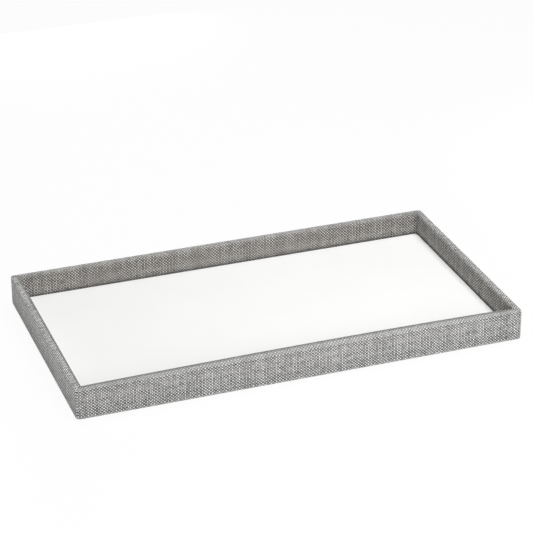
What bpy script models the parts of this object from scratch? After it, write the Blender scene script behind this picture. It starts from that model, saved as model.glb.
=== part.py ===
"""Utility tray for a shop counter: a low wooden frame covered in grey woven cloth, with a loose white insert.

Metres, +Z up, +X along the tray, -Y its front. The origin is under the middle of the tray, on the table.
Four side boards are bradded at the corners and stand on a thin base that is pinned to them from below.
One long strip of cloth goes round the outside, over the rim, down the inside and in under the insert.
Its lower edge is turned under the base, and a sheet of felt covers that edge.
"""

import bpy
import bmesh
from math import cos, pi, sin, tau
from mathutils import Vector

# The covered tray, over the cloth
TRAY_LENGTH = 0.37465
TRAY_WIDTH = 0.20955
SIDE_HEIGHT = 0.0254

# Sheet materials
BOARD_THICKNESS = 0.00475
BASE_THICKNESS = 0.0025
CLOTH_THICKNESS = 0.0005
FELT_THICKNESS = 0.0006
INSERT_BOARD_THICKNESS = 0.0012
INSERT_SKIN_THICKNESS = 0.00035

# What glue or a close fit leaves between two pieces, and how far a cutter runs past what it cuts
GLUE_GAP = 0.0003
OVERRUN = 0.0006

# Rounded corners, seen from above, and eased edges
BOARD_CORNER_RADIUS = 0.0027
BOARD_EDGE_RADIUS = 0.0002
INSIDE_FOLD_RADIUS = 0.0003
CUT_CORNER_RADIUS = 0.0003
FELT_CORNER_RADIUS = 0.002
INSERT_CORNER_RADIUS = 0.003

# How the cloth strip is turned and snipped
CLOTH_TURN_UNDER = 0.015
CLOTH_TURN_IN = 0.012
SNIP_WIDTH = 0.0003
INSIDE_TAB_WIDTH = 0.0045
SEAM_FROM_CORNER = 0.0032

# The felt under the tray and the loose insert inside it
FELT_INSET = 0.003
INSERT_PLAY = 0.003175
INSERT_FRONT_GAP = 0.0005
INSERT_RIGHT_GAP = 0.0005
INSERT_SKIN_TURN_UNDER = 0.014

# Brads through the corners and pins up through the base
BRAD_LENGTH = 0.016
BRAD_SHANK_RADIUS = 0.0005
BRAD_HEAD_RADIUS = 0.0008
BRAD_HEAD_THICKNESS = 0.0004
BRAD_SET_DEPTH = 0.0006
PIN_LENGTH = 0.012
PIN_SHANK_RADIUS = 0.00055
PIN_HEAD_RADIUS = 0.001
PIN_HEAD_THICKNESS = 0.0004
PIN_SET_DEPTH = 0.0002
BRAD_HEIGHT_SHARES = (0.25, 0.75)
LONG_PIN_SHARES = (-0.42, -0.14, 0.14, 0.42)
END_PIN_SHARES = (-0.25, 0.25)
POINT_LENGTH_SHARE = 0.12
POINT_RADIUS_SHARE = 0.2

CORNER_STEPS = 8
BEND_STEPS = 4
FASTENER_SIDES = 12

# Heights above the table, worked up from the felt
CLOTH_BOTTOM = FELT_THICKNESS + GLUE_GAP
TRAY_TOP = CLOTH_BOTTOM + SIDE_HEIGHT
BASE_BOTTOM = CLOTH_BOTTOM + CLOTH_THICKNESS + GLUE_GAP
BASE_TOP = BASE_BOTTOM + BASE_THICKNESS
BOARD_BOTTOM = BASE_TOP + GLUE_GAP
BOARD_TOP = TRAY_TOP - CLOTH_THICKNESS - GLUE_GAP
FLOOR_CLOTH_TOP = BASE_TOP + GLUE_GAP + CLOTH_THICKNESS
INSERT_BOTTOM = FLOOR_CLOTH_TOP + GLUE_GAP
INSERT_THICKNESS = 2 * (INSERT_SKIN_THICKNESS + GLUE_GAP) + INSERT_BOARD_THICKNESS

# Plan sizes that follow from the above
COVER_DEPTH = CLOTH_THICKNESS + GLUE_GAP
WALL_THICKNESS = BOARD_THICKNESS + 2 * COVER_DEPTH
FRAME_LENGTH = TRAY_LENGTH - 2 * COVER_DEPTH
FRAME_WIDTH = TRAY_WIDTH - 2 * COVER_DEPTH
CLOTH_CORNER_RADIUS = BOARD_CORNER_RADIUS + COVER_DEPTH
CLOTH_EDGE_RADIUS = BOARD_EDGE_RADIUS + COVER_DEPTH
INSIDE_LENGTH = TRAY_LENGTH - 2 * WALL_THICKNESS
INSIDE_WIDTH = TRAY_WIDTH - 2 * WALL_THICKNESS
INSERT_LENGTH = INSIDE_LENGTH - INSERT_PLAY
INSERT_WIDTH = INSIDE_WIDTH - INSERT_PLAY
INSERT_EDGE_RADIUS = INSERT_SKIN_THICKNESS + GLUE_GAP


def remove_everything():
    for thing in list(bpy.data.objects):
        bpy.data.objects.remove(thing, do_unlink=True)


def finish(name, colour, roughness, metallic=0.0):
    """A plain material in the colour of the real one."""
    material = bpy.data.materials.new(name)
    material.use_nodes = True
    surface = material.node_tree.nodes["Principled BSDF"]
    surface.inputs["Base Color"].default_value = (*colour, 1.0)
    surface.inputs["Roughness"].default_value = roughness
    surface.inputs["Metallic"].default_value = metallic
    return material


def show(name, mesh, material=None, place=(0, 0, 0)):
    """Puts a mesh in the scene as a piece, smooth where its faces run on gently."""
    piece = bpy.data.objects.new(name, mesh)
    piece.location = place
    bpy.context.collection.objects.link(piece)
    if material:
        mesh.materials.clear()
        mesh.materials.append(material)
    mesh.shade_smooth()
    mesh.set_sharp_from_angle(angle=pi / 6)
    return piece


def loft(name, rings, joined=False):
    """A closed skin through rings of points. Its ends are joined to each other, or else capped."""
    skin = bmesh.new()
    rows = [[skin.verts.new(point) for point in ring] for ring in rings]
    following = rows[1:] + rows[:1] if joined else rows[1:]
    for row, after in zip(rows, following):
        for i in range(len(row)):
            j = (i + 1) % len(row)
            skin.faces.new((row[i], row[j], after[j], after[i]))
    if not joined:
        skin.faces.new(rows[0])
        skin.faces.new(rows[-1])
    bmesh.ops.recalc_face_normals(skin, faces=skin.faces)
    mesh = bpy.data.meshes.new(name)
    skin.to_mesh(mesh)
    skin.free()
    return mesh


def corner_arc(centre, radius, start):
    """Points round a quarter circle, anticlockwise from the angle start."""
    turns = [start + pi / 2 * i / CORNER_STEPS for i in range(CORNER_STEPS + 1)]
    return [Vector((centre[0] + radius * cos(a), centre[1] + radius * sin(a))) for a in turns]


def round_rectangle(length, width, radius, height):
    """A ring of points at one height, with round corners."""
    x = length / 2 - radius
    y = width / 2 - radius
    corners = ((x, y), (-x, y), (-x, -y), (x, -y))
    points = [p for i, c in enumerate(corners) for p in corner_arc(c, radius, i * pi / 2)]
    return [(p.x, p.y, height) for p in points]


def box(name, low, high):
    """A closed box between two corners."""
    ring = ((low[0], low[1]), (high[0], low[1]), (high[0], high[1]), (low[0], high[1]))
    return loft(name, [[(x, y, z) for x, y in ring] for z in (low[2], high[2])])


def bend(depth, height, radius, start, turn):
    """A quarter circle in a section of depth and height, from the angle start, turning by turn."""
    turns = [start + turn * i / BEND_STEPS for i in range(BEND_STEPS + 1)]
    return [(depth + radius * cos(a), height + radius * sin(a)) for a in turns]


def cutter(name, mesh, place=(0, 0, 0), turn=0.0):
    """A piece that only cuts others."""
    tool = show(name, mesh, place=place)
    tool.rotation_euler.z = turn
    tool.hide_render = True
    tool.display_type = "WIRE"
    return tool


def cut(piece, tool):
    carve = piece.modifiers.new("cut by " + tool.name, "BOOLEAN")
    carve.operation = "DIFFERENCE"
    carve.solver = "EXACT"
    carve.object = tool


def cut_by_all(piece, tools):
    carve = piece.modifiers.new("cut by " + tools.name, "BOOLEAN")
    carve.operation = "DIFFERENCE"
    carve.solver = "EXACT"
    carve.operand_type = "COLLECTION"
    carve.collection = tools


def ease_edges(piece, radius):
    eased = piece.modifiers.new("eased edges", "BEVEL")
    eased.width = radius
    eased.segments = 2
    eased.limit_method = "ANGLE"
    eased.angle_limit = pi / 4


# The wooden frame


def long_board(name, side, material):
    """A front or back board. It runs the whole length, and its two outer corners are rounded."""
    half = FRAME_LENGTH / 2
    inner = FRAME_WIDTH / 2 - BOARD_THICKNESS
    outer = FRAME_WIDTH / 2 - BOARD_CORNER_RADIUS
    reach = half - BOARD_CORNER_RADIUS
    right = corner_arc((reach, outer), BOARD_CORNER_RADIUS, 0)
    left = corner_arc((-reach, outer), BOARD_CORNER_RADIUS, pi / 2)
    outline = [Vector((half, inner)), *right, *left, Vector((-half, inner))]
    rings = [[(p.x, side * p.y, z) for p in outline] for z in (BOARD_BOTTOM, BOARD_TOP)]
    board = show(name, loft(name, rings), material)
    ease_edges(board, BOARD_EDGE_RADIUS)
    return board


def end_board(name, side, material):
    """A left or right board, butted between the long ones."""
    half_width = FRAME_WIDTH / 2 - BOARD_THICKNESS - GLUE_GAP
    faces = sorted((side * (FRAME_LENGTH / 2 - BOARD_THICKNESS), side * FRAME_LENGTH / 2))
    low = (faces[0], -half_width, BOARD_BOTTOM)
    high = (faces[1], half_width, BOARD_TOP)
    board = show(name, box(name, low, high), material)
    ease_edges(board, BOARD_EDGE_RADIUS)
    return board


def base_board(name, material):
    heights = (BASE_BOTTOM, BASE_TOP)
    rings = [round_rectangle(FRAME_LENGTH, FRAME_WIDTH, BOARD_CORNER_RADIUS, z) for z in heights]
    board = show(name, loft(name, rings), material)
    ease_edges(board, BOARD_EDGE_RADIUS)
    return board


# Brads and pins


def fastener_rings(length, shank, head, head_thickness, spare=0.0):
    """Rings along a small nail, from its head at the origin to its point up +Z, grown by spare."""
    point_from = length * (1 - POINT_LENGTH_SHARE)
    profile = (
        (head + spare, -spare),
        (head + spare, head_thickness + spare),
        (shank + spare, head_thickness + spare),
        (shank + spare, point_from),
        (shank * POINT_RADIUS_SHARE + spare, length + spare),
    )
    turns = [tau * i / FASTENER_SIDES for i in range(FASTENER_SIDES)]
    return [[(r * cos(a), r * sin(a), z) for a in turns] for r, z in profile]


def hole_rings(length, shank, head, head_thickness, set_depth):
    """The nail's hole: its own shape with the glue gap round it, open out to the board's face."""
    rings = fastener_rings(length, shank, head, head_thickness, GLUE_GAP)
    mouth = [(x, y, -set_depth - OVERRUN) for x, y, z in rings[0]]
    return [mouth, *rings[1:]]


def add_fastener(name, mesh, hole, holes, place, turn, material):
    """A nail where it was driven, and the hole that the boards get for it."""
    piece = show(name, mesh, material, place)
    piece.rotation_euler = turn
    tool = cutter(name + "_hole", hole, place)
    tool.rotation_euler = turn
    bpy.context.collection.objects.unlink(tool)
    holes.objects.link(tool)


def corner_brads(holes, material):
    """Two brads a corner, through the long board into the end board's end grain."""
    sizes = (BRAD_LENGTH, BRAD_SHANK_RADIUS, BRAD_HEAD_RADIUS, BRAD_HEAD_THICKNESS)
    mesh = loft("brad", fastener_rings(*sizes))
    hole = loft("brad_hole", hole_rings(*sizes, BRAD_SET_DEPTH))
    x = FRAME_LENGTH / 2 - BOARD_THICKNESS / 2
    y = FRAME_WIDTH / 2 - BRAD_SET_DEPTH
    for front_or_back, side in (("front", -1), ("back", 1)):
        for left_or_right, end in (("left", -1), ("right", 1)):
            for level, share in zip(("lower", "upper"), BRAD_HEIGHT_SHARES):
                z = BOARD_BOTTOM + share * (BOARD_TOP - BOARD_BOTTOM)
                name = f"brad_{front_or_back}_{left_or_right}_{level}"
                turn = (side * pi / 2, 0, 0)
                add_fastener(name, mesh, hole, holes, (end * x, side * y, z), turn, material)


def base_pins(holes, material):
    """Pins up through the base into the middle of each side board."""
    sizes = (PIN_LENGTH, PIN_SHANK_RADIUS, PIN_HEAD_RADIUS, PIN_HEAD_THICKNESS)
    mesh = loft("pin", fastener_rings(*sizes))
    hole = loft("pin_hole", hole_rings(*sizes, PIN_SET_DEPTH))
    x = FRAME_LENGTH / 2 - BOARD_THICKNESS / 2
    y = FRAME_WIDTH / 2 - BOARD_THICKNESS / 2
    z = BASE_BOTTOM + PIN_SET_DEPTH
    long_places = [share * FRAME_LENGTH for share in LONG_PIN_SHARES]
    end_places = [share * FRAME_WIDTH for share in END_PIN_SHARES]
    rows = {
        "front": [(place, -y, z) for place in long_places],
        "back": [(place, y, z) for place in long_places],
        "left": [(-x, place, z) for place in end_places],
        "right": [(x, place, z) for place in end_places],
    }
    for side, places in rows.items():
        for number, place in enumerate(places, 1):
            name = f"base_pin_{side}_{number}"
            add_fastener(name, mesh, hole, holes, place, (0, 0, 0), material)


# The cloth strip


def cloth_section():
    """The strip's cut across a wall: distance in from the tray's outer face, and height.

    It runs along the side that shows, from under the base to the edge below the insert, and back
    along the side that is glued.
    """
    edge = CLOTH_EDGE_RADIUS
    glued = edge - CLOTH_THICKNESS
    low = CLOTH_BOTTOM + edge
    high = TRAY_TOP - edge
    over = WALL_THICKNESS - edge
    foot = WALL_THICKNESS + CLOTH_TURN_IN
    shown = [
        (CLOTH_TURN_UNDER, CLOTH_BOTTOM),
        *bend(edge, low, edge, -pi / 2, -pi / 2),
        *bend(edge, high, edge, pi, -pi / 2),
        *bend(over, high, edge, pi / 2, -pi / 2),
        (WALL_THICKNESS, FLOOR_CLOTH_TOP),
        (foot, FLOOR_CLOTH_TOP),
    ]
    back = [
        (foot, FLOOR_CLOTH_TOP - CLOTH_THICKNESS),
        (WALL_THICKNESS - CLOTH_THICKNESS, FLOOR_CLOTH_TOP - CLOTH_THICKNESS),
        *bend(over, high, glued, 0, pi / 2),
        *bend(edge, high, glued, pi / 2, pi / 2),
        *bend(edge, low, glued, pi, pi / 2),
        (CLOTH_TURN_UNDER, CLOTH_BOTTOM + CLOTH_THICKNESS),
    ]
    return shown + back


def cloth_radius(depth):
    """How round the strip's corners are, at a distance in from the tray's outer face."""
    if depth < WALL_THICKNESS / 2:
        return CLOTH_CORNER_RADIUS - depth
    return max(INSIDE_FOLD_RADIUS + WALL_THICKNESS - depth, CUT_CORNER_RADIUS)


def cloth_ring(depth, height):
    length = TRAY_LENGTH - 2 * depth
    width = TRAY_WIDTH - 2 * depth
    return round_rectangle(length, width, cloth_radius(depth), height)


def mitre_snip(name, start, end, bottom, top):
    """Cuts at 45 degrees at all four corners, between two depths in from the tray's outer face."""
    reach = 2**0.5
    half = SNIP_WIDTH / 2
    snip = box(name, (start * reach, -half, bottom), (end * reach, half, top))
    tools = []
    for end_side, side, turn in ((1, 1, 5), (-1, 1, 7), (-1, -1, 1), (1, -1, 3)):
        place = (end_side * TRAY_LENGTH / 2, side * TRAY_WIDTH / 2, 0)
        tools.append(cutter(name, snip, place, turn * pi / 4))
    return tools


def tab_snip(name, end_side, side):
    """Frees the tab that a long side's cloth turns round the inside corner onto the end wall.

    It is a thin plate cut out to a U that lies round the tab's top, free edge and foot.
    """
    corner = INSIDE_WIDTH / 2
    start = corner + CLOTH_THICKNESS
    edge = corner - INSIDE_TAB_WIDTH
    beyond = edge - SNIP_WIDTH
    top = TRAY_TOP - CLOTH_EDGE_RADIUS
    foot = FLOOR_CLOTH_TOP
    outline = (
        (start, top),
        (beyond, top),
        (beyond, foot),
        (start, foot),
        (start, foot + SNIP_WIDTH),
        (edge, foot + SNIP_WIDTH),
        (edge, top - SNIP_WIDTH),
        (start, top - SNIP_WIDTH),
    )
    face = INSIDE_LENGTH / 2
    depths = (face - GLUE_GAP, face + CLOTH_THICKNESS + GLUE_GAP / 2)
    rings = [[(end_side * x, side * y, z) for y, z in outline] for x in depths]
    return cutter(name, loft(name, rings))


def seam_snip(name):
    """The strip's two ends meet on the front, just past the left corner."""
    x = SEAM_FROM_CORNER - TRAY_LENGTH / 2
    front = -TRAY_WIDTH / 2
    low = (x - SNIP_WIDTH / 2, front - OVERRUN, CLOTH_BOTTOM - OVERRUN)
    high = (x + SNIP_WIDTH / 2, front + SEAM_FROM_CORNER, TRAY_TOP + OVERRUN)
    return cutter(name, box(name, low, high))


def cloth_wrap(name, material):
    rings = [cloth_ring(depth, height) for depth, height in cloth_section()]
    strip = show(name, loft(name, rings, joined=True), material)
    edge = CLOTH_EDGE_RADIUS
    inside = WALL_THICKNESS - CLOTH_THICKNESS
    foot = WALL_THICKNESS + CLOTH_TURN_IN + OVERRUN
    rim_bottom = TRAY_TOP - edge - SNIP_WIDTH
    floor_bottom = FLOOR_CLOTH_TOP - CLOTH_THICKNESS - GLUE_GAP / 2
    under_top = CLOTH_BOTTOM + CLOTH_THICKNESS + GLUE_GAP / 2
    tools = [
        *mitre_snip("rim_mitre", edge, WALL_THICKNESS + OVERRUN, rim_bottom, TRAY_TOP + OVERRUN),
        *mitre_snip("floor_mitre", inside, foot, floor_bottom, FLOOR_CLOTH_TOP + SNIP_WIDTH),
        *mitre_snip("under_mitre", edge, CLOTH_TURN_UNDER + OVERRUN, CLOTH_BOTTOM - OVERRUN, under_top),
        *[tab_snip("inside_tab", end, side) for end in (-1, 1) for side in (-1, 1)],
        seam_snip("strip_seam"),
    ]
    for tool in tools:
        cut(strip, tool)
    return strip


# The loose insert and the felt


def insert_place():
    """The insert lies against the front and right walls, short of the other two."""
    x = (INSIDE_LENGTH - INSERT_LENGTH) / 2 - INSERT_RIGHT_GAP
    y = INSERT_FRONT_GAP - (INSIDE_WIDTH - INSERT_WIDTH) / 2
    return (x, y, INSERT_BOTTOM)


def insert_ring(depth, height):
    radius = max(INSERT_CORNER_RADIUS - depth, CUT_CORNER_RADIUS)
    return round_rectangle(INSERT_LENGTH - 2 * depth, INSERT_WIDTH - 2 * depth, radius, height)


def insert_skin(name, material):
    """The white skin covers the insert's top and edges, and is glued down round its underside."""
    edge = INSERT_EDGE_RADIUS
    glued = edge - INSERT_SKIN_THICKNESS
    high = INSERT_THICKNESS - edge
    section = [
        *bend(edge, high, edge, pi / 2, pi / 2),
        *bend(edge, edge, edge, pi, pi / 2),
        (INSERT_SKIN_TURN_UNDER, 0),
        (INSERT_SKIN_TURN_UNDER, INSERT_SKIN_THICKNESS),
        *bend(edge, edge, glued, 3 * pi / 2, -pi / 2),
        *bend(edge, high, glued, pi, -pi / 2),
    ]
    rings = [insert_ring(depth, height) for depth, height in section]
    skin = show(name, loft(name, rings), material, insert_place())
    reach = 2**0.5
    half = SNIP_WIDTH / 2
    top = INSERT_SKIN_THICKNESS + GLUE_GAP / 2
    end = INSERT_SKIN_TURN_UNDER * reach + OVERRUN
    snip = box("insert_mitre", (edge * reach, -half, -OVERRUN), (end, half, top))
    x, y, z = insert_place()
    for end_side, side, turn in ((1, 1, 5), (-1, 1, 7), (-1, -1, 1), (1, -1, 3)):
        place = (x + end_side * INSERT_LENGTH / 2, y + side * INSERT_WIDTH / 2, z)
        cut(skin, cutter("insert_mitre", snip, place, turn * pi / 4))
    return skin


def insert_board(name, material):
    depth = INSERT_SKIN_THICKNESS + GLUE_GAP
    rings = [insert_ring(depth, z) for z in (depth, depth + INSERT_BOARD_THICKNESS)]
    return show(name, loft(name, rings), material, insert_place())


def underside_felt(name, material):
    length = TRAY_LENGTH - 2 * FELT_INSET
    width = TRAY_WIDTH - 2 * FELT_INSET
    rings = [round_rectangle(length, width, FELT_CORNER_RADIUS, z) for z in (0, FELT_THICKNESS)]
    return show(name, loft(name, rings), material)


def build_tray():
    wood = finish("pale wood", (0.62, 0.47, 0.31), 0.7)
    hardboard = finish("brown hardboard", (0.26, 0.15, 0.08), 0.6)
    steel = finish("bright steel", (0.62, 0.62, 0.6), 0.35, 1.0)
    cloth = finish("grey woven cloth", (0.36, 0.35, 0.34), 0.9)
    white_skin = finish("white leathercloth", (0.92, 0.92, 0.92), 0.55)
    greyboard = finish("grey board", (0.3, 0.29, 0.27), 0.85)
    felt = finish("charcoal felt", (0.03, 0.03, 0.03), 1.0)

    holes = bpy.data.collections.new("fastener_holes")
    bpy.context.scene.collection.children.link(holes)
    corner_brads(holes, steel)
    base_pins(holes, steel)
    boards = (
        long_board("front_board", -1, wood),
        long_board("back_board", 1, wood),
        end_board("left_board", -1, wood),
        end_board("right_board", 1, wood),
        base_board("base_board", hardboard),
    )
    for board in boards:
        cut_by_all(board, holes)
    cloth_wrap("cloth_wrap", cloth)
    insert_board("insert_board", greyboard)
    insert_skin("insert_skin", white_skin)
    underside_felt("underside_felt", felt)


remove_everything()
build_tray()
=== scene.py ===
"""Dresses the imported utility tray: woven grey cloth over its boards, a loose white insert, felt below."""
from collections import namedtuple
from math import cos, floor, pi, sin

import bmesh
import bpy
from mathutils import Matrix, Vector


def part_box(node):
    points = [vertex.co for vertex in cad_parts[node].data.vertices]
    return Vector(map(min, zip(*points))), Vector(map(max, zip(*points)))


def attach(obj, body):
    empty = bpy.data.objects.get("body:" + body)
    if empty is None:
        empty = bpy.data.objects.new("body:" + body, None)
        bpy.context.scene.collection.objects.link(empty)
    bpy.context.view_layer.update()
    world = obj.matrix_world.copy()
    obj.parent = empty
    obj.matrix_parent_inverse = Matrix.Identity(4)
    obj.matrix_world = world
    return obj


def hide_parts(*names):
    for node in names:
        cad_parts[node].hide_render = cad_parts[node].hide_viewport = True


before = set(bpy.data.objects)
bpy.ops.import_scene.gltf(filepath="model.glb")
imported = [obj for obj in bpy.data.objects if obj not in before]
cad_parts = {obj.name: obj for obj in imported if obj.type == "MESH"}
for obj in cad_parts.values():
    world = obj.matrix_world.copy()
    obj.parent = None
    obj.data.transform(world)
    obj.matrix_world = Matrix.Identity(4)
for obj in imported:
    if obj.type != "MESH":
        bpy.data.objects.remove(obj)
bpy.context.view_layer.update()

scene = bpy.context.scene
scene.view_settings.view_transform = "Standard"

# Sizes of the cloth, in metres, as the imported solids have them
cloth_low, cloth_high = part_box("cloth_wrap")
HALF_LENGTH, HALF_WIDTH = cloth_high.x, cloth_high.y
CLOTH_BOTTOM, RIM_HEIGHT = cloth_low.z, cloth_high.z
WALL = 0.00635
FLOOR_CLOTH_TOP = 0.005
TURN_UNDER = 0.015
TURN_IN = 0.012
EDGE_RADIUS = 0.001
FOLD_RADIUS = 0.0003
CORNER_RADIUS = 0.0035
CLOTH_FACE = 0.0001
CLOTH_BACK = 0.00045

# The cloth's threads, its mitres, its inside tabs and its seam, how near its mesh's points are joined, and
# how far under the base the threads are modelled
THREAD_ALONG = 0.00139
THREAD_UP = 0.00125
THREAD_RELIEF = 0.0001
MITRE_GAP = 0.00012
MITRE_OPENS_OVER = 0.0009
EDGE_FLATTENED = 0.0005
TAB_WIDTH = 0.0045
TAB_GAP = 0.0003
TAB_BEHIND = 0.00015
TAB_FOLD = 0.0004
SEAM_FROM_CORNER = 0.0032
SEAM_HALF_GAP = 0.0001
SEAM_SHOULDER = 0.00004
SEAM_DEPTH = 0.00028
SEAM_THREAD_DRIFT = 1.0012
JOIN_COLUMN = 0.00004
MERGE_DISTANCE = 0.000002
RAISED_UNDER_BASE = 0.0035

# How far the cloth stands off the rim's inner edge, and how much more where it is slack along the front.
# The slack's highest place lies right of the middle by its skew, and a lower fullness makes it rise sooner.
RIM_LIFT = 0.0008
FRONT_SLACK = 0.002
SLACK_SKEW = 1.2
SLACK_FULLNESS = 0.7
LIFT_WIDTH = 0.0052
LIFT_FADES_BY = 0.55

# Painted light and wear, as a share of the cloth's lightness: paler over the rim, as painted sheen and wear;
# darker at the rim's inner edge, as painted shade of the bend, where edge_middle is from the start of the
# bend;
# and darker at the wall's foot, as painted shade beside the insert, fading over these lengths up it.
# fuzz is how far rubbed fibres over the rim hide the single yarns.
PaintedLightAndWear = namedtuple("PaintedLightAndWear", "paler fuzz edge_duller edge_middle edge_reach foot_duller foot_from foot_to")
WALL_PAINTED_LIGHT_AND_WEAR = {"front": PaintedLightAndWear(0.16, 0.5, 0.42, -0.0006, 0.0024, 0.35, 0.0019, 0.0036),
             "right": PaintedLightAndWear(0.16, 0.0, 0.05, 0.0004, 0.0011, 0.55, 0.0028, 0.0054),
             "back": PaintedLightAndWear(0.26, 0.0, 0.05, 0.0004, 0.0011, 0.32, 0.0019, 0.0036),
             "left": PaintedLightAndWear(0.4, 0.0, 0.45, 0.0001, 0.0015, 0.35, 0.0019, 0.0036)}
FUZZ_COLOUR = (0.292, 0.291, 0.285, 1)
# The cloth inside the walls is tinted warmer, as painted warm light.
INSIDE_PAINTED_WARM_LIGHT = (1.02, 0.995, 0.965, 1)

# The insert's skin and the felt
SKIN_THICKNESS = 0.00035
SKIN_TURN_UNDER = 0.014
SKIN_EDGE_RADIUS = 0.0005
SKIN_CORNER_RADIUS = 0.003
SKIN_FLAT_FROM = 0.0012
FELT_EDGE_RADIUS = 0.0002
FELT_CORNER_RADIUS = 0.002
FELT_FLAT_FROM = 0.003
FELT_UNDER_FROM = 0.0006
SMALLEST_CORNER = 0.0002

# The cloth's nine stretches, and their lengths, from its edge under the base to its edge under the insert
(UNDER_BASE, LOWER_BEND, OUTSIDE_WALL, OUTER_BEND, RIM_TOP, INNER_BEND, INSIDE_WALL, FLOOR_FOLD,
 UNDER_INSERT) = range(9)
BENDS = (LOWER_BEND, OUTER_BEND, INNER_BEND, FLOOR_FOLD)
BEND = pi / 2 * (EDGE_RADIUS - CLOTH_FACE)
SEGMENT_LENGTHS = [
    TURN_UNDER - EDGE_RADIUS, BEND, RIM_HEIGHT - CLOTH_BOTTOM - 2 * EDGE_RADIUS, BEND,
    WALL - 2 * EDGE_RADIUS, BEND, RIM_HEIGHT - EDGE_RADIUS - FLOOR_CLOTH_TOP - FOLD_RADIUS,
    pi / 2 * (FOLD_RADIUS + CLOTH_FACE), TURN_IN - FOLD_RADIUS]
SEGMENT_STARTS = [sum(SEGMENT_LENGTHS[:i]) for i in range(len(SEGMENT_LENGTHS) + 1)]


# Small helpers for node trees

def feed(tree, value, socket):
    """Links a socket to an input, or sets the input's value."""
    if isinstance(value, bpy.types.NodeSocket):
        tree.links.new(value, socket)
    else:
        socket.default_value = value


def put(tree, kind, inputs=None, **settings):
    """Adds a node with these settings, and feeds its inputs by name or number."""
    node = tree.nodes.new(kind)
    for name, value in settings.items():
        setattr(node, name, value)
    for key, value in (inputs or {}).items():
        feed(tree, value, node.inputs[key])
    return node


def sums(tree, operation, *values, clamp=False):
    """One step of arithmetic."""
    node = put(tree, "ShaderNodeMath", dict(enumerate(values)), operation=operation, use_clamp=clamp)
    return node.outputs[0]


def group(kind, name, takes, gives):
    """A node group with named sockets, and the sockets inside it."""
    tree = bpy.data.node_groups.new(name, kind)
    for way, sockets in (("INPUT", takes), ("OUTPUT", gives)):
        for label, socket_kind in sockets.items():
            tree.interface.new_socket(label, in_out=way, socket_type="NodeSocket" + socket_kind)
    given = tree.nodes.new("NodeGroupInput").outputs
    wanted = tree.nodes.new("NodeGroupOutput").inputs
    return tree, given, wanted


def mixed(tree, share, low, high, kind="FLOAT", **settings):
    """A blend of two values, colours or vectors."""
    node = put(tree, "ShaderNodeMix", data_type=kind, **settings)
    first = {"FLOAT": 2, "VECTOR": 4, "RGBA": 6}[kind]
    feed(tree, share, node.inputs[0])
    feed(tree, low, node.inputs[first])
    feed(tree, high, node.inputs[first + 1])
    return node.outputs[{"FLOAT": 0, "VECTOR": 1, "RGBA": 2}[kind]]


def joined(tree, x, y, z):
    """A vector from its three numbers."""
    return put(tree, "ShaderNodeCombineXYZ", {0: x, 1: y, 2: z}).outputs[0]


def noise(tree, place, scale, detail=2.0, roughness=0.5):
    """Smooth noise, mostly between NOISE_LOW and NOISE_HIGH."""
    node = put(tree, "ShaderNodeTexNoise", {"Vector": place, "Scale": scale, "Detail": detail,
                                            "Roughness": roughness})
    return node.outputs["Fac"]


def ranged(tree, value, low, high, to_low=0.0, to_high=1.0):
    """The value moved from one range to another, and held inside it."""
    node = put(tree, "ShaderNodeMapRange", {0: value, 1: low, 2: high, 3: to_low, 4: to_high})
    return node.outputs[0]


# Shader groups that the finishes share

NOISE_LOW, NOISE_HIGH = 0.3, 0.7

# A yarn's section: how round it is, how low it dips under the next one, and where the gap beside it is
# painted in shade
YARN_ROUNDNESS = 0.8
YARN_DIP = 0.3
GAP_BEGINS, GAP_DEEPEST = 0.9, 0.15
FIBRE_RELIEF = 0.25

# How fast the noise changes along a yarn and from yarn to yarn, and across, along and between its fibres
SLOW_ALONG, SLOW_APART = 0.21, 3.7
FIBRES_ACROSS, FIBRES_SLANT, FIBRES_APART = 9.0, 2.5, 1.7

# What keeps the lying yarns' noise apart from the upright ones'
LYING_SLOW_PLACE = 5.0
LYING_YARN_PLACE = 400.0


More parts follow.
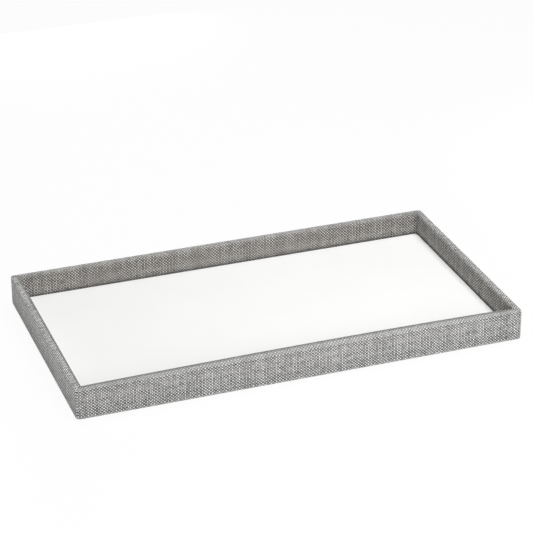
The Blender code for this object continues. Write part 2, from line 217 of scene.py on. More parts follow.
def woven_threads():
    """Plain weave from thread numbers: x counts upright threads, y counts lying ones."""
    tree, given, wanted = group(
        "ShaderNodeTree", "woven threads",
        {"Threads": "Vector", "Light Yarn": "Color", "Dark Yarn": "Color", "Upright Lightness": "Float",
         "Upright Contrast": "Float", "Lying Lightness": "Float", "Lying Contrast": "Float",
         "Yarn Difference": "Float", "Unevenness": "Float", "Speckle": "Float", "Fibre Contrast": "Float",
         "Gap Painted Shade": "Float"},
        {"Colour": "Color", "Height": "Float"})
    split = put(tree, "ShaderNodeSeparateXYZ", {0: given["Threads"]}).outputs
    x, y = split[0], split[1]
    upright, lying = sums(tree, "FLOOR", x), sums(tree, "FLOOR", y)
    across = sums(tree, "SUBTRACT", sums(tree, "FRACT", x), 0.5)
    up = sums(tree, "SUBTRACT", sums(tree, "FRACT", y), 0.5)
    upright_over = sums(tree, "FLOORED_MODULO", sums(tree, "ADD", upright, lying), 2.0)

    round_across = sums(tree, "COSINE", sums(tree, "MULTIPLY", across, pi))
    round_up = sums(tree, "COSINE", sums(tree, "MULTIPLY", up, pi))
    upright_height = sums(tree, "MULTIPLY", sums(tree, "POWER", round_across, YARN_ROUNDNESS),
                          ranged(tree, round_up, 0, 1, YARN_DIP, 1.0))
    lying_height = sums(tree, "MULTIPLY", sums(tree, "POWER", round_up, YARN_ROUNDNESS),
                        ranged(tree, round_across, 0, 1, YARN_DIP, 1.0))
    height = mixed(tree, upright_over, lying_height, upright_height)

    def alternate(number, way):
        """Every other yarn is lighter by its contrast, the ones between darker."""
        odd = sums(tree, "FLOORED_MODULO", number, 2.0)
        even = sums(tree, "SUBTRACT", 1.0, sums(tree, "MULTIPLY", odd, 2.0))
        return sums(tree, "ADD", given[way + " Lightness"],
                    sums(tree, "MULTIPLY", even, given[way + " Contrast"]))

    slow_place = mixed(
        tree, upright_over,
        joined(tree, sums(tree, "MULTIPLY", x, SLOW_ALONG), sums(tree, "MULTIPLY", lying, SLOW_APART),
               LYING_SLOW_PLACE),
        joined(tree, sums(tree, "MULTIPLY", upright, SLOW_APART), sums(tree, "MULTIPLY", y, SLOW_ALONG), 0.0),
        "VECTOR")
    slow = noise(tree, slow_place, 1.0, 1.0)

    def fibre_place(beside, along, yarn_number):
        """A place in the noise whose fibres run along the yarn with a slant."""
        slanted = sums(tree, "ADD", sums(tree, "MULTIPLY", beside, FIBRES_ACROSS),
                       sums(tree, "MULTIPLY", along, FIBRES_SLANT))
        return joined(tree, slanted, along, sums(tree, "MULTIPLY", yarn_number, FIBRES_APART))

    fibres = noise(tree, mixed(tree, upright_over, fibre_place(up, x, lying),
                               fibre_place(across, y, upright), "VECTOR"), 1.0)
    upright_yarn = put(tree, "ShaderNodeTexWhiteNoise", {"W": upright}, noise_dimensions="1D").outputs[0]
    lying_yarn = put(tree, "ShaderNodeTexWhiteNoise", {"W": sums(tree, "ADD", lying, LYING_YARN_PLACE)},
                     noise_dimensions="1D").outputs[0]
    yarn = mixed(tree, upright_over, lying_yarn, upright_yarn)
    crossing = put(tree, "ShaderNodeTexWhiteNoise", {"Vector": joined(tree, upright, lying, 0.0)},
                   noise_dimensions="2D").outputs[0]

    tone = mixed(tree, upright_over, alternate(lying, "Lying"), alternate(upright, "Upright"))
    for value, strength in ((slow, given["Unevenness"]), (yarn, given["Yarn Difference"])):
        tone = sums(tree, "ADD", tone, sums(tree, "MULTIPLY", sums(tree, "SUBTRACT", value, 0.5), strength))
    speck = sums(tree, "MULTIPLY", sums(tree, "SUBTRACT", crossing, 0.5), given["Speckle"])
    tone = sums(tree, "ADD", tone, speck)
    strands = sums(tree, "MULTIPLY", sums(tree, "SUBTRACT", fibres, 0.5), given["Fibre Contrast"])
    tone = sums(tree, "ADD", tone, strands, clamp=True)
    colour = mixed(tree, tone, given["Dark Yarn"], given["Light Yarn"], "RGBA")
    # The gaps between the yarns are darkened: painted shade.
    gap = ranged(tree, height, GAP_BEGINS, GAP_DEEPEST)
    shade = sums(tree, "MULTIPLY", gap, given["Gap Painted Shade"])
    dark = put(tree, "ShaderNodeHueSaturation", {"Value": sums(tree, "SUBTRACT", 1.0, shade),
                                                 "Color": colour})
    feed(tree, dark.outputs[0], wanted["Colour"])
    feed(tree, sums(tree, "ADD", height, sums(tree, "MULTIPLY", fibres, FIBRE_RELIEF)), wanted["Height"])
    return tree


FLECKS_FROM, FLECKS_FULL = 0.5, 0.72


def fibre_flecks():
    """Short flecks and soft mottling, for board, felt and wood, from a place and a stretch of it."""
    tree, given, wanted = group(
        "ShaderNodeTree", "fibre flecks",
        {"Place": "Vector", "Stretch": "Vector", "Fleck Scale": "Float", "Mottle Scale": "Float"},
        {"Flecks": "Float", "Mottle": "Float"})
    stretched = put(tree, "ShaderNodeVectorMath", {0: given["Place"], 1: given["Stretch"]},
                    operation="MULTIPLY").outputs[0]
    turned = put(tree, "ShaderNodeMapping", {"Vector": stretched, "Rotation": (0.3, 0.2, 0.8)}).outputs[0]
    first = noise(tree, stretched, given["Fleck Scale"], 3.0, 0.6)
    second = noise(tree, turned, given["Fleck Scale"], 3.0, 0.6)
    flecks = sums(tree, "MAXIMUM", ranged(tree, first, FLECKS_FROM, FLECKS_FULL),
                  ranged(tree, second, FLECKS_FROM, FLECKS_FULL))
    feed(tree, flecks, wanted["Flecks"])
    feed(tree, noise(tree, given["Place"], given["Mottle Scale"], 3.0, 0.55), wanted["Mottle"])
    return tree


THREADS = woven_threads()
FLECKS = fibre_flecks()


# Materials

def material(name, **sockets):
    """A material with its Principled shader set, its tree, and the object's own coordinates."""
    made = bpy.data.materials.new(name)
    made.use_nodes = True
    tree = made.node_tree
    shader = tree.nodes["Principled BSDF"]
    for label, value in sockets.items():
        shader.inputs[label.replace("_", " ")].default_value = value
    place = tree.nodes.new("ShaderNodeTexCoord").outputs["Object"]
    return made, tree, shader, place


def place_group(tree, inner, inputs):
    """Places a shader group, and gives its outputs."""
    node = tree.nodes.new("ShaderNodeGroup")
    node.node_tree = inner
    for label, value in inputs.items():
        feed(tree, value, node.inputs[label])
    return node.outputs


def raised_by(tree, shader, height, strength, distance):
    """Bump of this strength, and of this many metres, on the shader."""
    bump = put(tree, "ShaderNodeBump", {"Height": height, "Strength": strength, "Distance": distance})
    tree.links.new(bump.outputs[0], shader.inputs["Normal"])


def soft_mottle(tree, place, scale, low=0.0, high=1.0):
    """Slow, soft change over a surface, from low to high."""
    return ranged(tree, noise(tree, place, scale, 3.0, 0.6), NOISE_LOW, NOISE_HIGH, low, high)


def woven_cloth():
    """Grey cloth of light upright yarns and dark lying ones, with painted sheen and wear over the rim,
    painted shade at the rim's inner edge and the walls' foot, and a painted warm tint inside.
    """
    made, tree, shader, place = material("grey woven cloth", Sheen_Weight=0.12, Sheen_Roughness=0.45,
                                         Specular_IOR_Level=0.25)
    threads = put(tree, "ShaderNodeAttribute", attribute_name="threads").outputs["Vector"]
    weave = place_group(tree, THREADS, {
        "Threads": threads, "Light Yarn": (0.9, 0.902, 0.882, 1), "Dark Yarn": (0.055, 0.054, 0.052, 1),
        "Upright Lightness": 0.785, "Upright Contrast": 0.06, "Lying Lightness": 0.19,
        "Lying Contrast": 0.04, "Yarn Difference": 0.32, "Unevenness": 0.5, "Speckle": 0.27,
        "Fibre Contrast": 0.7, "Gap Painted Shade": 0.75})
    # The points' painted light and wear: painted sheen and wear over the rim, painted shade at the rim's
    # inner edge and at the wall's foot.
    painted_light_and_wear = put(tree, "ShaderNodeAttribute", attribute_name="painted_light_and_wear").outputs["Fac"]
    fuzz = put(tree, "ShaderNodeAttribute", attribute_name="fuzz").outputs["Fac"]
    rubbed = mixed(tree, fuzz, weave["Colour"], FUZZ_COLOUR, "RGBA")
    soft = soft_mottle(tree, place, 55.0, 0.97, 1.03)
    painted_and_worn = put(tree, "ShaderNodeHueSaturation", {"Value": sums(tree, "MULTIPLY", soft, painted_light_and_wear),
                                                 "Color": rubbed}).outputs[0]
    # Inside the walls the cloth is tinted warmer, as painted warm light.
    row = put(tree, "ShaderNodeSeparateXYZ", {0: threads}).outputs[1]
    bend_row, wall_row = SEGMENT_STARTS[INNER_BEND] / THREAD_UP, SEGMENT_STARTS[INSIDE_WALL] / THREAD_UP
    inside = ranged(tree, row, bend_row, wall_row)
    painted_warm_light = mixed(tree, 1.0, painted_and_worn, INSIDE_PAINTED_WARM_LIGHT, "RGBA", blend_type="MULTIPLY")
    tree.links.new(mixed(tree, inside, painted_and_worn, painted_warm_light, "RGBA"), shader.inputs["Base Color"])
    feed(tree, ranged(tree, weave["Height"], 0.2, 1.1, 0.95, 0.78), shader.inputs["Roughness"])
    raised_by(tree, shader, weave["Height"], 0.7, 0.0002)
    return made


def white_leathercloth():
    """White cover with a fine pebbled grain and a satin face."""
    made, tree, shader, place = material("white leathercloth", Specular_IOR_Level=0.3)
    pebbles = put(tree, "ShaderNodeTexVoronoi", {"Vector": place, "Scale": 1600.0, "Randomness": 1.0},
                  feature="SMOOTH_F1").outputs["Distance"]
    grain = noise(tree, place, 900.0, 3.0, 0.55)
    height = sums(tree, "ADD", pebbles, sums(tree, "MULTIPLY", grain, 0.6))
    soft = soft_mottle(tree, place, 14.0)
    colour = mixed(tree, soft, (0.895, 0.893, 0.886, 1), (0.91, 0.91, 0.905, 1), "RGBA")
    tree.links.new(colour, shader.inputs["Base Color"])
    feed(tree, ranged(tree, height, 0.2, 1.2, 0.42, 0.58), shader.inputs["Roughness"])
    raised_by(tree, shader, height, 0.12, 0.00004)
    return made


FLECK_SHARE = 0.6
MOTTLE_FROM_FLECKS = 12
FLECKS_SMOOTHER = 0.12


def fibre_board(name, base, fleck, mottled, scale, roughness, stretch=(1, 1, 1)):
    """Board, wood or felt: a base colour with flecks of another and soft mottling."""
    made, tree, shader, place = material(name, Specular_IOR_Level=0.3)
    marks = place_group(tree, FLECKS, {"Place": place, "Stretch": stretch, "Fleck Scale": scale,
                                       "Mottle Scale": scale / MOTTLE_FROM_FLECKS})
    share = sums(tree, "MULTIPLY", marks["Flecks"], FLECK_SHARE)
    flecked = mixed(tree, share, (*base, 1), (*fleck, 1), "RGBA")
    value = ranged(tree, marks["Mottle"], NOISE_LOW, NOISE_HIGH, 1 - mottled, 1 + mottled)
    colour = put(tree, "ShaderNodeHueSaturation", {"Value": value, "Color": flecked}).outputs[0]
    tree.links.new(colour, shader.inputs["Base Color"])
    smoother = ranged(tree, marks["Flecks"], 0, 1, roughness, roughness - FLECKS_SMOOTHER)
    feed(tree, smoother, shader.inputs["Roughness"])
    raised_by(tree, shader, marks["Flecks"], 0.35, 0.00008)
    return made


def drawn_steel():
    """Bright wire with fine upright marks."""
    made, tree, shader, place = material("drawn steel", Metallic=1.0)
    marks = place_group(tree, FLECKS, {"Place": place, "Stretch": (6, 6, 0.4), "Fleck Scale": 900.0,
                                       "Mottle Scale": 400.0})
    colour = mixed(tree, marks["Mottle"], (0.5, 0.5, 0.49, 1), (0.68, 0.68, 0.67, 1), "RGBA")
    tree.links.new(colour, shader.inputs["Base Color"])
    feed(tree, ranged(tree, marks["Flecks"], 0, 1, 0.28, 0.45), shader.inputs["Roughness"])
    return made


CLOTH = woven_cloth()
SKIN = white_leathercloth()
GREYBOARD = fibre_board("greyboard", (0.36, 0.35, 0.325), (0.2, 0.195, 0.18), 0.06, 700.0, 0.92)
HARDBOARD = fibre_board("hardboard", (0.235, 0.128, 0.066), (0.33, 0.2, 0.11), 0.12, 420.0, 0.6,
                        (1.0, 0.35, 1.0))
LONG_WOOD = fibre_board("basswood, grain along the length", (0.62, 0.47, 0.3), (0.45, 0.31, 0.18), 0.08,
                        500.0, 0.7, (0.06, 1, 1))
END_WOOD = fibre_board("basswood, grain across", (0.62, 0.47, 0.3), (0.45, 0.31, 0.18), 0.08,
                       500.0, 0.7, (1, 0.06, 1))
FELT = fibre_board("grey felt", (0.085, 0.085, 0.088), (0.2, 0.2, 0.205), 0.1, 900.0, 0.97)
STEEL = drawn_steel()


# The cloth strip's section, from under the base, up the outside, over the rim and down inside

INSIDE_CENTRE = WALL + FOLD_RADIUS


def section(segment, share, inset):
    """Depth from the outer face, height, and the way the cloth faces, at one place on the section."""
    turned = pi / 2 * share
    if segment == UNDER_BASE:
        return (TURN_UNDER + (EDGE_RADIUS - TURN_UNDER) * share, CLOTH_BOTTOM + inset, 0.0, -1.0)
    if segment == LOWER_BEND:
        away, down = -sin(turned), -cos(turned)
        reach = EDGE_RADIUS - inset
        return (EDGE_RADIUS + reach * away, CLOTH_BOTTOM + EDGE_RADIUS + reach * down, away, down)
    if segment == OUTSIDE_WALL:
        low, high = CLOTH_BOTTOM + EDGE_RADIUS, RIM_HEIGHT - EDGE_RADIUS
        return (inset, low + (high - low) * share, -1.0, 0.0)
    if segment == OUTER_BEND:
        away, up = -cos(turned), sin(turned)
        reach = EDGE_RADIUS - inset
        return (EDGE_RADIUS + reach * away, RIM_HEIGHT - EDGE_RADIUS + reach * up, away, up)
    if segment == RIM_TOP:
        return (EDGE_RADIUS + (WALL - 2 * EDGE_RADIUS) * share, RIM_HEIGHT - inset, 0.0, 1.0)
    if segment == INNER_BEND:
        inward, up = sin(turned), cos(turned)
        reach = EDGE_RADIUS - inset
        return (WALL - EDGE_RADIUS + reach * inward, RIM_HEIGHT - EDGE_RADIUS + reach * up, inward, up)
    if segment == INSIDE_WALL:
        high, low = RIM_HEIGHT - EDGE_RADIUS, FLOOR_CLOTH_TOP + FOLD_RADIUS
        return (WALL - inset, high + (low - high) * share, 1.0, 0.0)
    if segment == FLOOR_FOLD:
        inward, up = cos(turned), sin(turned)
        reach = FOLD_RADIUS + inset
        return (INSIDE_CENTRE - reach * inward, FLOOR_CLOTH_TOP + FOLD_RADIUS - reach * up, inward, up)
    return (INSIDE_CENTRE + (TURN_IN - FOLD_RADIUS) * share, FLOOR_CLOTH_TOP - inset, 0.0, 1.0)


def cloth_rows():
    """Rows of the face at every half thread, closer in the bends, then a few rows back along the glued side.

    A row is its segment, its share of it, its length along the section, and whether it is the face.
    """
    length = SEGMENT_STARTS[-1]
    half = THREAD_UP / 2
    begin = SEGMENT_STARTS[LOWER_BEND] - RAISED_UNDER_BASE
    steps = [half * i for i in range(int(begin / half) + 1, int(length / half) + 1)]
    for bend in (LOWER_BEND, OUTER_BEND, INNER_BEND):
        low, high = SEGMENT_STARTS[bend] - half / 2, SEGMENT_STARTS[bend + 1] + half / 2
        steps += [half * (i + 0.5) for i in range(int(length / half)) if low < half * (i + 0.5) < high]
    rows = []
    for s in sorted([0.0, *steps, length]):
        segment = max(i for i in range(len(SEGMENT_LENGTHS)) if s >= SEGMENT_STARTS[i])
        rows.append((segment, (s - SEGMENT_STARTS[segment]) / SEGMENT_LENGTHS[segment], s, True))
    for segment in reversed(range(len(SEGMENT_LENGTHS))):
        for share in (0.5,) if segment in BENDS else (1, 0):
            rows.append((segment, share, SEGMENT_STARTS[segment] + share * SEGMENT_LENGTHS[segment], False))
    return rows


def eased(value):
    """0 up to 0, 1 from 1 on, and a smooth rise between."""
    value = min(max(value, 0.0), 1.0)
    return value * value * (3 - 2 * value)


class Side:
    """The cloth of one wall: along runs left to right as seen from outside, out points away from it."""

    def __init__(self, name, along, out, half, half_across, first_thread, thread_count, has_tabs):
        self.name, self.along, self.out = name, along, out
        self.painted_and_worn = WALL_PAINTED_LIGHT_AND_WEAR[name]
        self.half, self.half_across, self.has_tabs = half, half_across, has_tabs
        self.reach = half - CORNER_RADIUS + (CORNER_RADIUS - CLOTH_FACE) * pi / 4
        self.first_thread, self.thread_count = first_thread, thread_count
        self.middle_thread = first_thread + thread_count / 2
        self.pitch = 2 * self.reach / thread_count

    def columns(self):
        """Place along the wall, thread number and sink of each column."""
        made = []
        for i in range(round(self.thread_count * 2) + 1):
            thread = self.first_thread + i / 2
            made.append(((thread - self.middle_thread) * self.pitch, thread, 0.0))
        join = self.reach - JOIN_COLUMN
        made += [(sign * join, self.middle_thread + sign * join / self.pitch, 0.0) for sign in (-1, 1)]
        return sorted(made)

    def lift(self, a, segment, share, depth):
        """How far the cloth stands up off the rim, most at the rim's inner edge."""
        if segment < OUTER_BEND or segment > INSIDE_WALL:
            return 0.0
        across = eased(depth / LIFT_WIDTH)
        if segment == INSIDE_WALL:
            across = 1 - eased(share / LIFT_FADES_BY)
        return self.stands_off(a) * across

    def stands_off(self, a):
        """How far the cloth stands off the rim's inner edge at one place along the wall."""
        return RIM_LIFT

    def over_rim(self, s):
        """1 over the rim, fading to 0 round its two bends."""
        risen = eased((s - SEGMENT_STARTS[OUTER_BEND]) / BEND)
        return risen * (1 - eased((s - SEGMENT_STARTS[INNER_BEND]) / BEND))

    def cut_area(self):
        """The flat area of this wall's cloth, with its corners mitred, from each stretch's mean depth."""
        depths = [(EDGE_RADIUS + TURN_UNDER) / 2, 0.0, 0.0, 0.0,
                  WALL / 2, WALL, WALL, WALL, WALL + TURN_IN / 2]
        return sum(2 * length * (self.half - depth) for length, depth in zip(SEGMENT_LENGTHS, depths))

    def painted_light_and_wear(self, s):
        """How light the cloth is at one length along the section: painted sheen and wear over the rim, and
        painted shade at the rim's inner edge and at the wall's foot.
        """
        over_rim, painted_and_worn = self.over_rim(s), self.painted_and_worn
        from_edge = abs(s - SEGMENT_STARTS[INNER_BEND] - painted_and_worn.edge_middle)
        from_foot = abs(s - SEGMENT_STARTS[FLOOR_FOLD])
        # The rim's inner edge is darkened as painted shade of the bend.
        edge = 1 - eased(from_edge / painted_and_worn.edge_reach)
        # The wall's foot is darkened as painted shade beside the insert.
        foot = 1 - eased((from_foot - painted_and_worn.foot_from) / (painted_and_worn.foot_to - painted_and_worn.foot_from))
        return 1 + painted_and_worn.paler * over_rim * (1 - edge) - painted_and_worn.edge_duller * edge - painted_and_worn.foot_duller * foot

    def place(self, a, row, sink):
        """One grid point: its place, the way its face looks, how far its threads are raised, how far a mitre
        shifts it along the wall, and its length along the section."""
        segment, share, s, is_face = row
        inset = (CLOTH_FACE + sink) if is_face else CLOTH_BACK
        depth, height, inward, up = section(segment, share, inset)
        height += self.lift(a, segment, share, depth)
        sign, b = (-1 if a < 0 else 1), abs(a)
        raised = 1.0 if is_face and not sink else 0.0
        turned, thread_x, deeper = 0.0, b, 0.0
        if segment == INSIDE_WALL:
            x, depth, turned, raised = self.inside_place(b, depth, raised)
            turned = -turned
        else:
            opened = eased((depth - CLOTH_FACE) / MITRE_OPENS_OVER)
            straight = self.half - CORNER_RADIUS
            x, shown_depth = b, depth
            if b > straight and depth < CORNER_RADIUS:
                turned = min((b - straight) / (CORNER_RADIUS - CLOTH_FACE), pi / 4)
                reach = CORNER_RADIUS - depth
                x, shown_depth = straight + reach * sin(turned), CORNER_RADIUS - reach * cos(turned)
                raised *= 1 - opened
            left = self.half - shown_depth - MITRE_GAP * opened - x
            if left < 0:
                x, left = x + left, 0.0
            raised *= 1 - opened * (1 - eased(left / EDGE_FLATTENED))
            thread_x = b + (x - b) * opened
            deeper = (shown_depth - depth) * opened * (-1 if segment < OUTSIDE_WALL else 1)
            depth = shown_depth
        raised *= eased(s / EDGE_FLATTENED) * eased((SEGMENT_STARTS[-1] - s) / EDGE_FLATTENED)
        plan = self.along * (sign * x) + self.out * (self.half_across - depth)
        out = self.out * cos(turned) + self.along * (sign * sin(turned))
        facing = out * -inward
        return (plan.x, plan.y, height), (facing.x, facing.y, up), raised, sign * (thread_x - b), s + deeper

    def inside_place(self, b, depth, raised):
        """Inside, a long wall's cloth turns onto the end wall as a tab, and an end's stops short of it."""
        if not self.has_tabs:
            end = self.half - WALL - TAB_WIDTH - TAB_GAP
            x = min(b, end)
            return x, depth, 0.0, raised * eased((end - x) / EDGE_FLATTENED)
        centre = self.half - WALL + CLOTH_FACE + TAB_BEHIND - TAB_FOLD
        past = b - centre
        if past <= 0:
            return b, depth, 0.0, raised
        reach = WALL - CLOTH_FACE + TAB_FOLD - depth
        quarter = TAB_FOLD * pi / 2
        turned = min(past / TAB_FOLD, pi / 2)
        x = centre + reach * sin(turned)
        run = min(max(past - quarter, 0.0), TAB_WIDTH - TAB_FOLD)
        depth = WALL - CLOTH_FACE + TAB_FOLD - reach * cos(turned) + run
        return x, depth, turned, raised * eased((TAB_WIDTH - TAB_FOLD - run) / EDGE_FLATTENED)


# Threads along a long side and an end, in half threads, a little fewer for the rounded corners
LONG_THREADS = floor(4 * HALF_LENGTH / THREAD_ALONG) / 2 - 0.5
END_THREADS = floor(4 * HALF_WIDTH / THREAD_ALONG) / 2 - 1.0


class FrontSide(Side):
    """The front's cloth is slack over the rim, and holds the strip's two ends, which meet in a seam."""

    def stands_off(self, a):
        """The slack is highest a little right of the middle, and there is none in the corners."""
        inner = self.half - WALL
        run = min(max((a + inner) / (2 * inner), 0.0), 1.0)
        return RIM_LIFT + FRONT_SLACK * max(sin(pi * run ** SLACK_SKEW), 0.0) ** SLACK_FULLNESS

    def columns(self):
        """As on a plain side, with the seam sunk between the strip's end and its start."""
        seam = -(self.half - SEAM_FROM_CORNER)
        shoulder = SEAM_HALF_GAP + SEAM_SHOULDER
        end_pitch, end_thread = self.pitch * SEAM_THREAD_DRIFT, self.first_thread + self.thread_count
        made = [c for c in Side.columns(self) if c[0] < seam - shoulder]
        for offset, sink in ((-shoulder, 0.0), (-SEAM_HALF_GAP, SEAM_DEPTH)):
            made.append((seam + offset, self.middle_thread + (seam + offset) / self.pitch, sink))
        made.append((seam + SEAM_HALF_GAP, end_thread - (self.reach - seam) / end_pitch, SEAM_DEPTH))
        made.append((seam + shoulder, end_thread - (self.reach - seam - shoulder) / end_pitch, 0.0))
        count = floor((self.reach - seam - shoulder) / end_pitch * 2)
        for i in range(count, -1, -1):
            made.append((self.reach - i / 2 * end_pitch, end_thread - i / 2, 0.0))
        made.append((self.reach - JOIN_COLUMN, end_thread - JOIN_COLUMN / end_pitch, 0.0))
        return sorted(made)


def smooth_mesh(name, made):
    """Turns a bmesh into a smooth mesh whose faces point outwards."""
    bmesh.ops.recalc_face_normals(made, faces=made.faces)
    for face in made.faces:
        face.smooth = True
    mesh = bpy.data.meshes.new(name)
    made.to_mesh(mesh)
    made.free()
    return mesh


def cloth_strip(side, rows):
    """A closed grid of one wall's cloth, with its threads, facing, and painted light and wear written on its
    points.
    """
    made = bmesh.new()
    threads = made.verts.layers.float_vector.new("threads")
    outward = made.verts.layers.float_vector.new("outward")
    relief = made.verts.layers.float.new("raised")
    painted_light_and_wear = made.verts.layers.float.new("painted_light_and_wear")
    fuzz = made.verts.layers.float.new("fuzz")
    grid = []
    for a, thread, sink in side.columns():
        column = []
        for row in rows:
            place, facing, raised, shift, s = side.place(a, row, sink)
            point = made.verts.new(place)
            point[threads] = (thread + shift / side.pitch, s / THREAD_UP, 0.0)
            point[outward] = facing
            point[relief] = raised
            point[painted_light_and_wear] = side.painted_light_and_wear(s)
            point[fuzz] = side.painted_and_worn.fuzz * side.over_rim(s)
            column.append(point)
        grid.append(column)
    count = len(rows)
    for left, right in zip(grid, grid[1:]):
        for i in range(count):
            j = (i + 1) % count
            made.faces.new((left[i], right[i], right[j], left[j]))
    faces_end = sum(1 for row in rows if row[3])
    for column in (grid[0], grid[-1]):
        face, back = list(range(faces_end)), list(range(count - 1, faces_end - 1, -1))
        i = j = 0
        while i < len(face) - 1 or j < len(back) - 1:
            step_face = j == len(back) - 1 or (
                i < len(face) - 1 and rows[face[i + 1]][2] <= rows[back[j + 1]][2])
            third = face[i + 1] if step_face else back[j + 1]
            made.faces.new((column[face[i]], column[back[j]], column[third]))
            i, j = (i + 1, j) if step_face else (i, j + 1)
    bmesh.ops.remove_doubles(made, verts=made.verts, dist=MERGE_DISTANCE)
    return smooth_mesh("cloth_" + side.name, made)


def raise_threads():
    """Geometry nodes that lift each crossing of the cloth's threads off its mean face."""
    tree, given, wanted = group(
        "GeometryNodeTree", "raise threads",
        {"Geometry": "Geometry", "Relief": "Float", "Cloth": "Material"}, {"Geometry": "Geometry"})

    def written(name, kind):
        """What cloth_strip wrote on the points under this name."""
        node = put(tree, "GeometryNodeInputNamedAttribute", {"Name": name}, data_type=kind)
        return node.outputs["Attribute"]

    def pillow(value):
        """0 between two threads, 1 in the middle of one."""
        wave = sums(tree, "SINE", sums(tree, "MULTIPLY", value, pi))
        return sums(tree, "MULTIPLY", wave, wave)

    numbers = put(tree, "ShaderNodeSeparateXYZ", {0: written("threads", "FLOAT_VECTOR")}).outputs
    height = sums(tree, "SUBTRACT", sums(tree, "ADD", pillow(numbers[0]), pillow(numbers[1])), 1.0)
    height = sums(tree, "MULTIPLY", height, written("raised", "FLOAT"))
    height = sums(tree, "MULTIPLY", height, given["Relief"])
    offset = put(tree, "ShaderNodeVectorMath", {0: written("outward", "FLOAT_VECTOR"), "Scale": height},
                 operation="SCALE").outputs[0]
    moved = put(tree, "GeometryNodeSetPosition", {"Geometry": given["Geometry"], "Offset": offset})
    real = put(tree, "GeometryNodeRealizeInstances", {"Geometry": moved.outputs[0]})
    finished = put(tree, "GeometryNodeSetMaterial", {"Geometry": real.outputs[0], "Material": given["Cloth"]})
    tree.links.new(finished.outputs[0], wanted["Geometry"])
    return tree


def baked(name, mesh, tree, values):
    """Runs a geometry node tree on a mesh, and keeps what it makes as a plain mesh."""
    start = bpy.data.objects.new(name + "_start", mesh)
    scene.collection.objects.link(start)
    modifier = start.modifiers.new(tree.name, "NODES")
    modifier.node_group = tree
    for item in tree.interface.items_tree:
        if item.in_out == "INPUT" and item.name in values:
            modifier[item.identifier] = values[item.name]
    evaluated = start.evaluated_get(bpy.context.evaluated_depsgraph_get())
    result = bpy.data.meshes.new_from_object(evaluated)
    start.modifiers.clear()
    bpy.data.objects.remove(start)
    return shown(name, result)


def shown(name, mesh):
    """An object of this mesh, in the scene."""
    mesh.name = name
    made = bpy.data.objects.new(name, mesh)
    scene.collection.objects.link(made)
    return made


def dress(piece, body, slot, *nodes):
    """The piece rides on a body and stands for these CAD nodes, which it hides. The slot is not used."""
    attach(piece, body)
    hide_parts(*nodes)


def make_cloth():
    """The four walls' cloth, with its threads counted on from wall to wall."""
    rows, relief = cloth_rows(), raise_threads()
    x, y = Vector((1, 0, 0)), Vector((0, 1, 0))
    sides = [
        FrontSide("front", x, -y, HALF_LENGTH, HALF_WIDTH, 0.0, LONG_THREADS, True),
        Side("right", y, x, HALF_WIDTH, HALF_LENGTH, LONG_THREADS, END_THREADS, False),
        Side("back", -x, y, HALF_LENGTH, HALF_WIDTH, LONG_THREADS + END_THREADS, LONG_THREADS, True),
        Side("left", -y, -x, HALF_WIDTH, HALF_LENGTH, 2 * LONG_THREADS + END_THREADS, END_THREADS, False)]
    for side in sides:
        cloth = baked("cloth_" + side.name, cloth_strip(side, rows), relief,
                      {"Relief": THREAD_RELIEF, "Cloth": CLOTH})
        dress(cloth, "tray", "woven_cloth", "cloth_wrap")
        side.cut_area()


make_cloth()


# The loose insert's skin and the felt

def rounded_ring(made, low, high, radius, inset, height, steps=8):
    """Points round a rectangle with rounded corners."""
    r = max(radius - inset, SMALLEST_CORNER)
    left, right = low.x + inset + r, high.x - inset - r
    front, back = low.y + inset + r, high.y - inset - r
    points = []
    for quarter, (x, y) in enumerate(((right, back), (left, back), (left, front), (right, front))):
        for i in range(steps + 1):
            angle = pi / 2 * (quarter + i / steps)
            points.append(made.verts.new((x + r * cos(angle), y + r * sin(angle), height)))
    return points


def lofted(name, low, high, radius, profile):
    """A closed body from rings given as inset and height, its first and last rings filled."""
    made = bmesh.new()
    rings = [rounded_ring(made, low, high, radius, inset, height) for inset, height in profile]
    for first, second in zip(rings, rings[1:]):
        for i in range(len(first)):
            j = (i + 1) % len(first)
            made.faces.new((first[i], first[j], second[j], second[i]))
    made.faces.new(rings[0])
    made.faces.new(rings[-1])
    return smooth_mesh(name, made)


def rounded_edge(inset, height, radius, start, steps=4):
    """Insets and heights round one edge of a sheet, from the angle start, in quarter turns."""
    return [(inset + radius * (1 - sin(pi / 2 * (start + i / steps))),
             height + radius * cos(pi / 2 * (start + i / steps))) for i in range(steps + 1)]


def make_insert_skin():
    """White cover over the insert's top and edges, turned under and glued round its underside."""
    low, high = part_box("insert_skin")
    thick, turned, edge = SKIN_THICKNESS, SKIN_TURN_UNDER, SKIN_EDGE_RADIUS
    profile = [(SKIN_FLAT_FROM, high.z)]
    profile += rounded_edge(0.0, high.z - edge, edge, 0)
    profile += rounded_edge(0.0, low.z + edge, edge, 1)
    profile += [(turned, low.z), (turned, low.z + thick), (thick, low.z + thick), (thick, high.z - thick)]
    skin = shown("insert_cover", lofted("insert_cover", low, high, SKIN_CORNER_RADIUS, profile))
    skin.data.materials.append(SKIN)
    dress(skin, "insert", "white_leathercloth", "insert_skin")


def make_felt():
    """Felt under the tray, with its cut edges a little rounded."""
    low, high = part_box("underside_felt")
    edge = FELT_EDGE_RADIUS
    profile = [(FELT_FLAT_FROM, low.z), (FELT_UNDER_FROM, low.z)]
    profile += rounded_edge(0.0, low.z + edge, edge, 1)[::-1]
    profile += rounded_edge(0.0, high.z - edge, edge, 0)[::-1]
    profile += [(FELT_FLAT_FROM, high.z)]
    felt = shown("felt_sheet", lofted("felt_sheet", low, high, FELT_CORNER_RADIUS, profile))
    felt.data.materials.append(FELT)
    dress(felt, "tray", "felt", "underside_felt")


make_insert_skin()
make_felt()


# Finishes of the parts that keep their solids

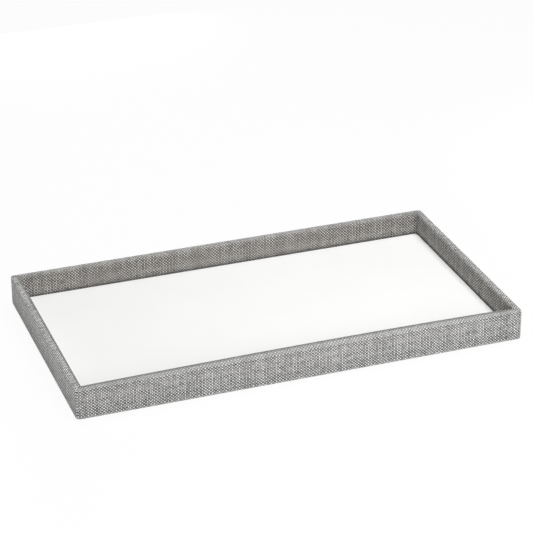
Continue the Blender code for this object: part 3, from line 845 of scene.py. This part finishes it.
def finish_nodes():
    """Gives each board its finish, and every brad and pin its steel."""
    finishes = {"front_board": LONG_WOOD, "back_board": LONG_WOOD, "left_board": END_WOOD,
                "right_board": END_WOOD, "base_board": HARDBOARD, "insert_board": GREYBOARD}
    for name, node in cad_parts.items():
        chosen = finishes.get(name, STEEL if name.startswith(("brad_", "base_pin_")) else None)
        if chosen is None:
            continue
        if not node.material_slots:
            node.data.materials.append(chosen)
        for material_slot in node.material_slots:
            material_slot.material = chosen


finish_nodes()


# The floor, the light and the camera

# Where the photograph was taken from, worked out from the tray's straight edges in it
CAMERA_PLACE = Vector((-0.51658, -1.46838, 0.82331))
CAMERA_RIGHT = Vector((0.941181, -0.337821, -0.007436))
CAMERA_UP = Vector((0.156485, 0.416258, 0.89568))
CAMERA_BACK = Vector((-0.299484, -0.84416, 0.444638))
SENSOR_WIDTH, LENS = 36.0, 143.2

# The room's own light, how far the camera sees the floor as plain white, and the floor's half width
ROOM_LIGHT = 0.06
FLOOR_GLOW = 0.95
FLOOR_HALF_WIDTH = 4.0

# Lamps: name, place, what it is aimed at, width and height, watts, and the spread of its light if narrowed
LAMPS = [
    ("lamp_overhead", (0.18, 0, 1.3), (0.18, 0, 0), (0.9, 1.2), 16.8),
    ("lamp_front", (0.1, -0.7, 0.3), (0, 0, 0.02), (0.4, 0.4), 3.25),
    ("lamp_front_low", (0.0, -0.75, 0.03), (0, 0, 0.015), (0.06, 0.06), 0.58),
    ("lamp_left_low", (-0.6, -0.05, 0.015), (-0.2, 0, 0.013), (0.12, 0.028), 0.68),
    ("lamp_right_low", (0.7, 0, 0.014), (0.2, 0, 0.013), (0.12, 0.024), 0.8),
    ("lamp_back_low", (0, 0.75, 0.014), (0, 0.1, 0.013), (0.3, 0.024), 1.6),
    ("lamp_floor_left", (-0.65, 0, 0.45), (-0.65, 0, 0), (0.45, 0.45), 11.0, 0.9),
    ("lamp_floor_right", (0.65, 0, 0.45), (0.65, 0, 0), (0.45, 0.45), 6.0, 0.9),
]


def seen_directly(tree):
    """1 for rays from the camera, a mirror or glass."""
    path = tree.nodes.new("ShaderNodeLightPath").outputs
    seen = sums(tree, "MAXIMUM", path["Is Camera Ray"], path["Is Glossy Ray"])
    return sums(tree, "MAXIMUM", seen, path["Is Transmission Ray"])


def make_floor():
    """White paper that takes the tray's shadow."""
    made = bmesh.new()
    bmesh.ops.create_grid(made, x_segments=8, y_segments=8, size=FLOOR_HALF_WIDTH)
    mesh = bpy.data.meshes.new("floor")
    made.to_mesh(mesh)
    made.free()
    floor_object = shown("floor", mesh)
    paper = bpy.data.materials.new("white paper floor")
    paper.use_nodes = True
    tree = paper.node_tree
    tree.nodes.clear()
    place = tree.nodes.new("ShaderNodeTexCoord").outputs["Object"]
    pulp = noise(tree, place, 60.0, 3.0)
    colour = mixed(tree, pulp, (0.8, 0.8, 0.8, 1), (0.84, 0.84, 0.84, 1), "RGBA")
    lit = put(tree, "ShaderNodeBsdfDiffuse", {"Color": colour}).outputs[0]
    glow = put(tree, "ShaderNodeEmission", {"Color": (1, 1, 1, 1), "Strength": 1.0}).outputs[0]
    share = sums(tree, "MULTIPLY", seen_directly(tree), FLOOR_GLOW)
    mix = put(tree, "ShaderNodeMixShader", {0: share, 1: lit, 2: glow}).outputs[0]
    tree.links.new(mix, tree.nodes.new("ShaderNodeOutputMaterial").inputs["Surface"])
    mesh.materials.append(paper)


def make_world():
    """Dim, even light from all round, seen as white."""
    world = bpy.data.worlds.new("soft room")
    scene.world = world
    world.use_nodes = True
    tree = world.node_tree
    tree.nodes.clear()
    room = put(tree, "ShaderNodeBackground", {"Color": (1.0, 0.985, 0.965, 1), "Strength": ROOM_LIGHT})
    white = put(tree, "ShaderNodeBackground", {"Color": (1, 1, 1, 1), "Strength": 1.0})
    mix = put(tree, "ShaderNodeMixShader", {0: seen_directly(tree), 1: room.outputs[0], 2: white.outputs[0]})
    tree.links.new(mix.outputs[0], tree.nodes.new("ShaderNodeOutputWorld").inputs["Surface"])


def softbox(name, place, aim, size, power, spread=pi):
    """A soft lamp of this width and height at a place, aimed at a point."""
    light = bpy.data.lights.new(name, "AREA")
    light.shape, light.energy, light.spread = "RECTANGLE", power, spread
    light.size, light.size_y = size
    lamp = bpy.data.objects.new(name, light)
    lamp.location = place
    lamp.rotation_mode = "QUATERNION"
    lamp.rotation_quaternion = (Vector(aim) - Vector(place)).to_track_quat("-Z", "Y")
    scene.collection.objects.link(lamp)


def make_camera():
    """The photograph's own view: from the front left, a little above, with a long lens."""
    data = bpy.data.cameras.new("camera")
    data.sensor_width, data.lens = SENSOR_WIDTH, LENS
    camera = bpy.data.objects.new("camera", data)
    turned = Matrix((CAMERA_RIGHT, CAMERA_UP, CAMERA_BACK)).transposed().to_4x4()
    camera.matrix_world = Matrix.Translation(CAMERA_PLACE) @ turned
    scene.collection.objects.link(camera)
    scene.camera = camera


make_floor()
make_world()
for lamp_row in LAMPS:
    softbox(*lamp_row)
make_camera()
